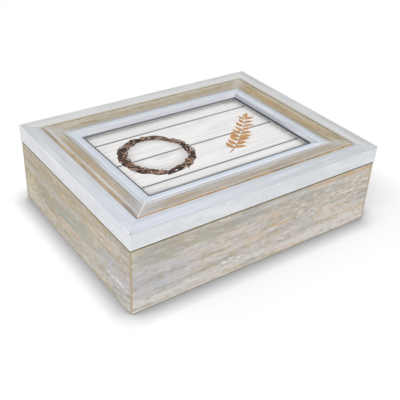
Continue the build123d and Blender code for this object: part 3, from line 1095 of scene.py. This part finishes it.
@dataclass
class LidFrame:
    """The lid: outer rails, mouldings, sight ring, glass, backing and its nails.

    Attributes:
        rails: the outer rails' finishes.
        mouldings: the mouldings' finishes.
        rings: the sight ring's finishes.
        glass: the glass.
        backing: the backing board's finish.
        nails: the nails' finish.
    """

    # Each rail's tones are set apart, partly for the light on its side: the darker outer bands of the right
    # and back rails are painted shade.
    rails: tuple[WhitePaint, ...] = (
        WhitePaint(
            Side.FRONT, seed=1.0, top="#dbdee3", outer="#d8dbe1", face="#d9dcdf", hollow="#c9c2b8",
            trough=0.55, near_end=1.0,
        ),
        WhitePaint(Side.RIGHT, seed=6.0, top="#dadadb", outer="#c4c4c4", hollow="#bdb7a5"),
        WhitePaint(Side.BACK, seed=11.0, top="#e1e1e0", outer="#d2d2d1", hollow="#c8c3b0"),
        WhitePaint(
            Side.LEFT, seed=16.0, top="#d7d9dd", outer="#d9dbe0", edge="#f0f2f3", face="#dddfe2",
            hollow="#c7c4bc", trough=0.25, near_end=1.0,
        ),
    )
    # Each moulding's tones are set apart, partly for the light on its side: the greyer inner tones, and the
    # darker flanks and beads of the right and back, are partly painted shade; the left moulding's bright
    # ridge is partly a painted highlight.
    mouldings: tuple[WashedMoulding, ...] = (
        WashedMoulding(
            Side.FRONT, seed=3.0, bare="#aa9d8a", wash="#c6c1bb", flank="#c3a27a", worn_to=0.0140,
            worn_swell=0.0034, ridge=(0.0146, 0.0158), ridge_tone="#d3ccc1", bead="#dad9dd",
            ring="#e6eef8", lap_at=0.0271, end_tone="#c9c4c7", end_flank="#cdae98", end_reach=0.026,
            patches=(
                Patch(0.010, 0.0190, 0.060, 0.0022, "#b3a285", 0.60),
                Patch(-0.060, 0.0205, 0.016, 0.0022, "#c0a67c", 0.60),
                Patch(0.065, 0.0210, 0.030, 0.0040, "#b9ab99", 0.60),
            ),
        ),
        WashedMoulding(
            Side.RIGHT, seed=8.0, bare="#a08f6e", wash="#c2b9a6", inner="#a99e85", flank="#8d8468",
            worn_to=0.0147, ridge=(0.0155, 0.0165), ridge_tone="#c9bfad", bead="#b9bbbf",
            ring="#cdd3da", lap_at=0.0283,
            patches=(
                Patch(0.015, 0.0198, 0.060, 0.0044, "#bba27e", 0.80),
                Patch(0.030, 0.0215, 0.030, 0.0030, "#c49e77", 0.60),
                Patch(-0.034, 0.0178, 0.022, 0.0028, "#c0a482", 0.80),
            ),
        ),
        WashedMoulding(
            Side.BACK, seed=13.0, bare="#aa9c81", wash="#c6bfb0", inner="#b3aea3", flank="#a0977a",
            worn_to=0.0147, ridge=(0.0152, 0.0166), ridge_tone="#cbc4b4", bead="#b4b6b8",
            ring="#ccd2d9", lap_at=0.0286,
            patches=(Patch(0.030, 0.0200, 0.060, 0.0040, "#b4a78b", 0.60),),
        ),
        WashedMoulding(
            Side.LEFT, seed=18.0, bare="#ac9f8b", wash="#c9c3ba", inner="#a39f92", flank="#cbad85",
            flank_shade="#b3a286", worn_to=0.0150, flank_foot=0.0, foot_cover=0.75,
            ridge=(0.0154, 0.0177), ridge_tone="#e0e1e5", bead="#d7dce4", ring="#e4ecf7",
            lap_at=0.0276, end_tone="#b9bcc1", end_reach=0.022,
            patches=(
                Patch(0.012, 0.0208, 0.050, 0.0036, "#bfa47d", 0.80),
                Patch(-0.030, 0.0185, 0.026, 0.0026, "#c4aa90", 0.60),
            ),
        ),
    )
    # Each ring's tones are set apart for the light on its side: the greyer right and back rings, and the
    # right ring's grey low tone and dark streaks, are painted shade.
    rings: tuple[PaleRing, ...] = (
        PaleRing(Side.FRONT, seed=4.0, paint="#e6f0fc", low="#dfeaf8"),
        PaleRing(
            Side.RIGHT, seed=9.0, paint="#dde3eb", low="#a8abb2", brink="#cdd3da", streak="#9a9da6",
            lit_to=0.0302,
        ),
        PaleRing(
            Side.BACK, seed=14.0, paint="#dce0e7", low="#cfcfd5", brink="#cdd4db", rim="#6b6c71",
            rim_from=0.0362,
        ),
        PaleRing(Side.LEFT, seed=19.0, paint="#e4edfa", low="#d6dde8"),
    )
    glass: PictureGlass = PictureGlass()
    backing: RawBoard = RawBoard("backing_board", seed=12.0)
    nails: Fitting = Fitting("nail_steel", Metal.STEEL, seed=7.0)

    def build(self) -> list[str]:
        """Dresses the lid's own pieces.

        Returns:
            What was dressed.
        """
        done = dress_sides("lid_{}_rail", self.rails)
        done += dress_sides("moulding_{}", self.mouldings)
        done += dress_sides("sight_{}", self.rings)
        singles = (("glass_pane", self.glass), ("backing_board", self.backing), ("mitre_nails", self.nails))
        return done + [dress(node, finish.make()) for node, finish in singles]


@dataclass
class Hardware:
    """Hinges with their pins and screws, and the turn buttons that hold the backing board.

    Attributes:
        leaf: the hinge leaves' finish.
        pin: the finish of the pins and of the hinges' screws.
        button: the turn buttons' finish.
        screw: the finish of the buttons' screws.
    """

    leaf: Fitting = Fitting("hinge_brass", Metal.BRASS, seed=5.0)
    pin: Fitting = Fitting("pin_brass", Metal.BRASS, seed=21.0)
    button: Fitting = Fitting("button_zinc", Metal.ZINC, seed=13.0)
    screw: Fitting = Fitting("screw_steel", Metal.STEEL, seed=17.0)

    def build(self) -> list[str]:
        """Dresses the metal fittings.

        Returns:
            What was dressed.
        """
        leaves = [f"{part}_leaf_{hand}" for part in ("body", "lid") for hand in ("left", "right")]
        pins = ["hinge_pin_left", "hinge_pin_right", "body_leaf_screws", "lid_leaf_screws"]
        buttons = [f"turn_button_{i}" for i in range(1, 5)]
        groups = ((self.leaf, leaves), (self.pin, pins), (self.button, buttons))
        done = []
        for finish, nodes in (*groups, (self.screw, ["turn_button_screws"])):
            material = finish.make()
            done += [dress(node, material) for node in nodes]
        return done


@dataclass
class Press:
    """Lays closed strokes of ink on the card.

    Attributes:
        shape: the mesh being built.
        ink: its colour layer.
        face: the height of the card's face.
        layer: how far each layer of print stands off the last.
        sunk: how far each stroke goes into that face.
    """

    shape: bmesh.types.BMesh
    ink: bmesh.types.BMLayerItem
    face: float
    layer: float = 0.00003
    sunk: float = 0.00001

    def stroke(self, path: list[Vector], widths: list[float], edge: str, middle: str) -> None:
        """Prints a line that is lit along its middle and dark at its edges.

        Args:
            path: points along the line.
            widths: its half width at each point.
            edge: the colour of its edges.
            middle: the colour of its middle.
        """
        dark, lit = tint(edge), tint(middle)
        tones = (dark, lit, lit, dark, dark, dark)
        rows = []
        for i, point in enumerate(path):
            ahead = path[min(i + 1, len(path) - 1)] - path[max(i - 1, 0)]
            out = Vector((-ahead.y, ahead.x, 0.0)).normalized() * widths[i]
            row = [point + out * side for side in (-1.0, -0.15, 0.45, 1.0)]
            row += [Vector((row[j].x, row[j].y, self.face - self.sunk)) for j in (3, 0)]
            rows.append([self.shape.verts.new(place) for place in row])
        for before, after in zip(rows, rows[1:]):
            for j, tone in enumerate(tones):
                k = (j + 1) % len(tones)
                self._face((before[j], after[j], after[k], before[k]), (tone, tone, tones[k], tones[k]))
        self._face(tuple(rows[0]), tones)
        self._face(tuple(reversed(rows[-1])), tuple(reversed(tones)))

    def _face(self, corners: tuple[bmesh.types.BMVert, ...], tones: tuple[Colour, ...]) -> None:
        """Adds one inked face.

        Args:
            corners: its corners in order.
            tones: the ink at each of them.
        """
        made = self.shape.faces.new(corners)
        made.material_index = 1
        for loop, tone in zip(made.loops, tones):
            loop[self.ink] = tone


@dataclass(frozen=True)
class Twigs:
    """One kind of twig in the wreath. Each pair of numbers is the least and the most.

    Attributes:
        count: how many twigs there are of this kind.
        sweep: how far each runs round the wreath, in radians.
        sway: how far it weaves in and out.
        thick: half its width.
        middles: colours for its middle, where an empty one stands for the colour of its edges.
        cross: how far it crosses the others, or nothing for one that runs along with them.
    """

    count: int
    sweep: tuple[float, float]
    sway: tuple[float, float]
    thick: tuple[float, float]
    middles: tuple[str, ...]
    cross: Optional[tuple[float, float]] = None


@dataclass(frozen=True)
class Wreath:
    """A round wreath, wound from long twigs that short ones tie.

    Attributes:
        middle: its middle on the card.
        radius: its radius.
        spread: how far a twig may lie off that radius.
        long: the long twigs.
        ties: the short ones that cross them.
        edges: colours for the twigs' edges.
        waves: how many waves a twig may have round the wreath.
        fewest_steps: how many steps a short twig has.
        steps_for_radian: how many steps a longer one has for each radian that it runs.
    """

    middle: tuple[float, float] = (-0.036, 0.002)
    radius: float = 0.0265
    spread: float = 0.0018
    long: Twigs = Twigs(56, (0.9, 2.4), (0.0010, 0.0030), (0.00035, 0.00070), ("", "#6b4a3a"))
    ties: Twigs = Twigs(
        150, (0.10, 0.24), (0.0004, 0.0010), (0.00050, 0.00095),
        ("#2c1c16", "#5a3f32", "#a27a64", "#d0a88e"), cross=(0.0014, 0.0030),
    )
    edges: tuple[str, ...] = ("#150c09", "#1f1410", "#2a1b15", "#3a271f")
    waves: tuple[int, ...] = (5, 6, 7, 8)
    fewest_steps: int = 8
    steps_for_radian: int = 22

    def draw(self, press: Press, chance: random.Random) -> None:
        """Prints the wreath.

        Args:
            press: lays the ink.
            chance: the source of the twigs' bends.
        """
        kinds = [self.long] * self.long.count + [self.ties] * self.ties.count
        for i, kind in enumerate(kinds):
            level = press.face + press.layer * (1 + i / self.long.count)
            path, widths = self._bend(kind, level, chance)
            edge = chance.choice(self.edges)
            press.stroke(path, widths, edge, chance.choice(kind.middles) or edge)

    def _bend(self, kind: Twigs, level: float, chance: random.Random) -> tuple[list[Vector], list[float]]:
        """Bends one twig.

        Args:
            kind: which kind of twig it is.
            level: the height that it is printed at.
            chance: the source of its bends.

        Returns:
            Points along the twig, and its half width at each of them.
        """
        begin = chance.uniform(0, math.tau)
        sweep = chance.uniform(*kind.sweep)
        sway = chance.uniform(*kind.sway)
        waves = chance.choice(self.waves)
        phase = chance.uniform(0, math.tau)
        lean = chance.uniform(-self.spread, self.spread)
        cross = chance.choice((-1, 1)) * chance.uniform(*kind.cross) if kind.cross else 0.0
        thick = chance.uniform(*kind.thick)
        path, widths = [], []
        steps = max(self.fewest_steps, int(sweep * self.steps_for_radian))
        for k in range(steps + 1):
            share = k / steps
            turn = begin + sweep * share
            radius = self.radius + lean + sway * math.sin(waves * turn + phase)
            radius += cross * (2 * share - 1)
            x, y = self.middle[0] + radius * math.cos(turn), self.middle[1] + radius * math.sin(turn)
            path.append(Vector((x, y, level)))
            widths.append(thick * (0.15 + 0.85 * math.sin(math.pi * share) ** 0.5))
        return path, widths


@dataclass(frozen=True)
class Sprig:
    """A leafy sprig on a bowed stem.

    Attributes:
        foot: the foot of its stem on the card.
        reach: how far the stem goes to the right and to the back.
        bow: how far it bows.
        steps: how many steps it has.
        stem_width: half its width at the foot.
        stem_tones: the colours of its edge and of its middle.
        leaf_length: the length of its lowest leaves.
        tip_length: the length of the leaf at its tip.
        leaf_steps: how many steps each leaf has.
        leaf_tones: the colours of the leaves' edges and middles, by turns.
        rib_width: half the width of a leaf's midrib.
        rib_tones: the colours of that rib.
    """

    foot: tuple[float, float] = (0.014, -0.024)
    reach: tuple[float, float] = (0.048, 0.040)
    bow: float = 0.003
    steps: int = 30
    stem_width: float = 0.00045
    stem_tones: tuple[str, str] = ("#7c4f30", "#b07a4c")
    leaf_length: float = 0.0125
    tip_length: float = 0.0105
    leaf_steps: int = 14
    leaf_tones: tuple[tuple[str, str], ...] = (
        ("#c98f4e", "#dcae72"), ("#b98247", "#d2a066"), ("#c4834c", "#d9a070"),
    )
    rib_width: float = 0.00012
    rib_tones: tuple[str, str] = ("#8d6236", "#a87a48")

    def draw(self, press: Press, chance: random.Random) -> None:
        """Prints the sprig.

        Args:
            press: lays the ink.
            chance: the source of the leaves' small differences.
        """
        foot = Vector((*self.foot, press.face + press.layer))
        shares = [k / self.steps for k in range(self.steps + 1)]
        right, back = self.reach
        stem = [foot + Vector((right * s, back * s**1.5 + self.bow * math.sin(3 * s), 0.0)) for s in shares]
        press.stroke(stem, [self.stem_width * (1 - 0.7 * s) for s in shares], *self.stem_tones)
        for i, k in enumerate(range(5, self.steps + 1, 3)):
            ahead = stem[min(k + 1, self.steps)] - stem[k - 1]
            heading = math.atan2(ahead.y, ahead.x)
            length = self.leaf_length * (1 - 0.35 * k / self.steps) * chance.uniform(0.9, 1.1)
            lift = Vector((0.0, 0.0, press.layer * (0.6 + 0.3 * (i % 2))))
            for hand in (-1, 1):
                turn = heading + hand * chance.uniform(0.75, 1.0)
                self._leaf(press, stem[k] + lift, turn, length, self.leaf_tones[(i + (hand > 0)) % 3])
        tip = stem[-1] - stem[-2]
        lift = Vector((0.0, 0.0, press.layer))
        self._leaf(press, stem[-1] + lift, math.atan2(tip.y, tip.x), self.tip_length, self.leaf_tones[0])

    def _leaf(
        self, press: Press, foot: Vector, heading: float, length: float, tones: tuple[str, str]
    ) -> None:
        """Prints one pointed leaf with a midrib.

        Args:
            press: lays the ink.
            foot: where the leaf leaves its stem.
            heading: the way it points, in radians.
            length: its length.
            tones: the colours of its edge and of its middle.
        """
        ahead = Vector((math.cos(heading), math.sin(heading), 0.0))
        bend = Vector((-ahead.y, ahead.x, 0.0)) * length * 0.12
        shares = [k / self.leaf_steps for k in range(self.leaf_steps + 1)]
        path = [foot + ahead * (length * s) + bend * math.sin(math.pi * s) for s in shares]
        widths = [max(0.00008, length * 0.2 * math.sin(math.pi * s**0.8)) for s in shares]
        press.stroke(path, widths, *tones)
        rib = [place + Vector((0.0, 0.0, press.layer * 0.5)) for place in path[:-2]]
        press.stroke(rib, [self.rib_width] * len(rib), *self.rib_tones)


@dataclass
class PrintedCard:
    """The card behind the glass, printed with white boards, a twig wreath and a leafy sprig.

    Attributes:
        node: the CAD node it stands for.
        top_gap: how far the card's face stays below the glass.
        bevel: how far its edges are softened.
        joints: where the boards' joints lie, from front to back.
        wreath: the wreath.
        sprig: the sprig.
        seed: for the random bends in both.
    """

    node: str = "photo_insert"
    top_gap: float = 0.00016
    bevel: float = 0.00006
    joints: tuple[float, ...] = (-0.0335, 0.0010, 0.0360)
    wreath: Wreath = Wreath()
    sprig: Sprig = Sprig()
    seed: int = 11

    def build(self) -> bpy.types.Object:
        """Builds the printed card.

        Returns:
            The card, which stands for its CAD node and rides with the lid.
        """
        low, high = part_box(self.node)
        high = Vector((high.x, high.y, high.z - self.top_gap))
        shape = bmesh.new()
        press = Press(shape, shape.loops.layers.float_color.new("ink"), high.z)
        chance = random.Random(self.seed)
        self.wreath.draw(press, chance)
        self.sprig.draw(press, chance)
        self._card(shape, low, high)
        mesh = bpy.data.meshes.new("picture_print")
        shape.to_mesh(mesh)
        shape.free()
        card = add_object("picture_print", mesh)
        for finish in (PaintedBoards(self.joints, self.wreath.middle, self.wreath.radius), PrintInk()):
            mesh.materials.append(finish.make())
        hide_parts(self.node)
        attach(card, "lid")
        return card

    def _card(self, shape: bmesh.types.BMesh, low: Vector, high: Vector) -> None:
        """Adds the card itself: a thin sheet with softened edges.

        Args:
            shape: the mesh being built.
            low: the card's lowest corner.
            high: its highest corner.
        """
        corners = bmesh.ops.create_cube(shape, size=1.0)["verts"]
        for corner in corners:
            corner.co = corner.co * (high - low) + (low + high) / 2
        edges = dict.fromkeys(edge for corner in corners for edge in corner.link_edges)
        bmesh.ops.bevel(shape, geom=list(edges), offset=self.bevel, segments=1, affect="EDGES")


@dataclass(frozen=True)
class SoftShadow:
    """One soft shadow that the floor shows round the box.

    Attributes:
        reach: how far from the box it reaches.
        light_from: the way that its light comes from, so that it falls on the far side.
        depth: how dark it gets at the box.
        lift: how much paler all of it is, so that the bare floor further out is white.
        samples: how finely it is worked out.
    """

    reach: float
    light_from: Spot
    depth: float
    lift: float = 1.0
    samples: int = 24

    def made(self, recipe: Recipe) -> Wire:
        """Adds the shadow to the floor's recipe.

        Args:
            recipe: the floor's recipe.

        Returns:
            The shadow, from 0 for black to 1 for the bare floor.
        """
        lean = recipe.node("CombineXYZ", dict(enumerate(self.light_from)))
        inputs = {"Distance": self.reach, "Normal": lean}
        near = recipe.node("AmbientOcclusion", inputs, "AO", samples=self.samples)
        paler = recipe.node("Math", {0: near, 1: self.lift}, operation="MULTIPLY", use_clamp=True)
        return recipe.node("Gamma", {"Color": paler, "Gamma": self.depth})


@dataclass(frozen=True)
class SoftLamp:
    """A square soft lamp that faces the box.

    Attributes:
        name: its name.
        place: where it hangs.
        power: its power in watts.
        size: the length of its side.
    """

    name: str
    place: Spot
    power: float
    size: float = 1.2

    def hang(self) -> str:
        """Hangs the lamp.

        Returns:
            Its name.
        """
        data = bpy.data.lights.new(self.name, "AREA")
        data.size = self.size
        data.energy = self.power
        turn_to(add_object(self.name, data), self.place, Vector(self.place))
        return self.name


@dataclass
class Studio:
    """A plain white studio: floor, world, soft lamps and the camera.

    Attributes:
        floor_half: half the floor's length.
        floor_grey: how much light the floor gives back to the box.
        contact: the shadow at the foot of the box.
        cast: the wider shadow on its far side.
        world_light: the strength of the even light from all round.
        lamps: the lamps.
        eye: where the camera stands.
        aim: a point that it looks at.
        roll: how far it leans over, in degrees.
        lens: its focal length, in millimetres.
        sensor: the width of its sensor, in millimetres.
    """

    floor_half: float = 3.0
    floor_grey: float = 0.80
    contact: SoftShadow = SoftShadow(reach=0.0165, light_from=(0.0, 0.0, 1.0), depth=1.3)
    cast: SoftShadow = SoftShadow(reach=0.080, light_from=(-0.88, -0.28, 0.38), depth=0.7, lift=1.10)
    world_light: float = 0.75
    lamps: tuple[SoftLamp, ...] = (
        SoftLamp("key", (-1.4, -1.0, 0.85), power=12.5),
        SoftLamp("fill", (0.6, -1.6, 0.80), power=3.5),
    )
    eye: Spot = (-0.2815, -0.3850, 0.3175)
    aim: Spot = (-0.02098, -0.03556, 0.03389)
    roll: float = 2.96
    lens: float = 61.87
    sensor: float = 36.0

    def build(self) -> list[str]:
        """Sets up the studio.

        Returns:
            What was made.
        """
        self._floor()
        self._world()
        lamps = [lamp.hang() for lamp in self.lamps]
        self._camera()
        bpy.context.scene.view_settings.view_transform = "Standard"
        return ["floor", "world", *lamps, "camera"]

    def _floor(self) -> None:
        """Lays a pale floor that looks white and keeps the box's shadow."""
        shape = bmesh.new()
        bmesh.ops.create_grid(shape, x_segments=24, y_segments=24, size=self.floor_half)
        mesh = bpy.data.meshes.new("floor")
        shape.to_mesh(mesh)
        shape.free()
        recipe = Recipe("studio_floor")
        both = {0: 1.0, 6: self.contact.made(recipe), 7: self.cast.made(recipe)}
        shadow = recipe.node("Mix", both, 2, data_type="RGBA", blend_type="MULTIPLY")
        white = recipe.node("Emission", {"Color": shadow, "Strength": 1.0})
        paper = recipe.node("BsdfDiffuse", {"Color": (self.floor_grey,) * 3 + (1.0,)})
        seen = recipe.node("MixShader", {0: recipe.seen_directly(), 1: paper, 2: white})
        mesh.materials.append(recipe.end(seen))
        add_object("floor", mesh)

    def _world(self) -> None:
        """Lights the box evenly from all round, against a white background."""
        recipe = Recipe("studio", world=True)
        inputs = {0: recipe.seen_directly(), 2: self.world_light, 3: 1.0}
        level = recipe.node("Mix", inputs, data_type="FLOAT")
        sky = recipe.node("Background", {"Color": (1.0, 1.0, 1.0, 1.0), "Strength": level})
        bpy.context.scene.world = recipe.end(sky)

    def _camera(self) -> None:
        """Stands the camera where the picture of the box is taken from."""
        data = bpy.data.cameras.new("camera")
        data.sensor_width = self.sensor
        data.lens = self.lens
        camera = add_object("camera", data)
        turn_to(camera, self.eye, Vector(self.eye) - Vector(self.aim), self.roll)
        bpy.context.scene.camera = camera


def main() -> None:
    """Dresses the box's sub-assemblies in order, then sets up the studio."""
    logging.basicConfig(level=logging.INFO, format="%(name)s: %(message)s")
    for assembly in (BoxBody(), LidFrame(), Hardware()):
        for piece in assembly.build():
            log.info("%s dressed %s", type(assembly).__name__, piece)
    log.info("PrintedCard built %s", PrintedCard().build().name)
    for part in Studio().build():
        log.info("Studio made %s", part)


if __name__ == "__main__":
    main()
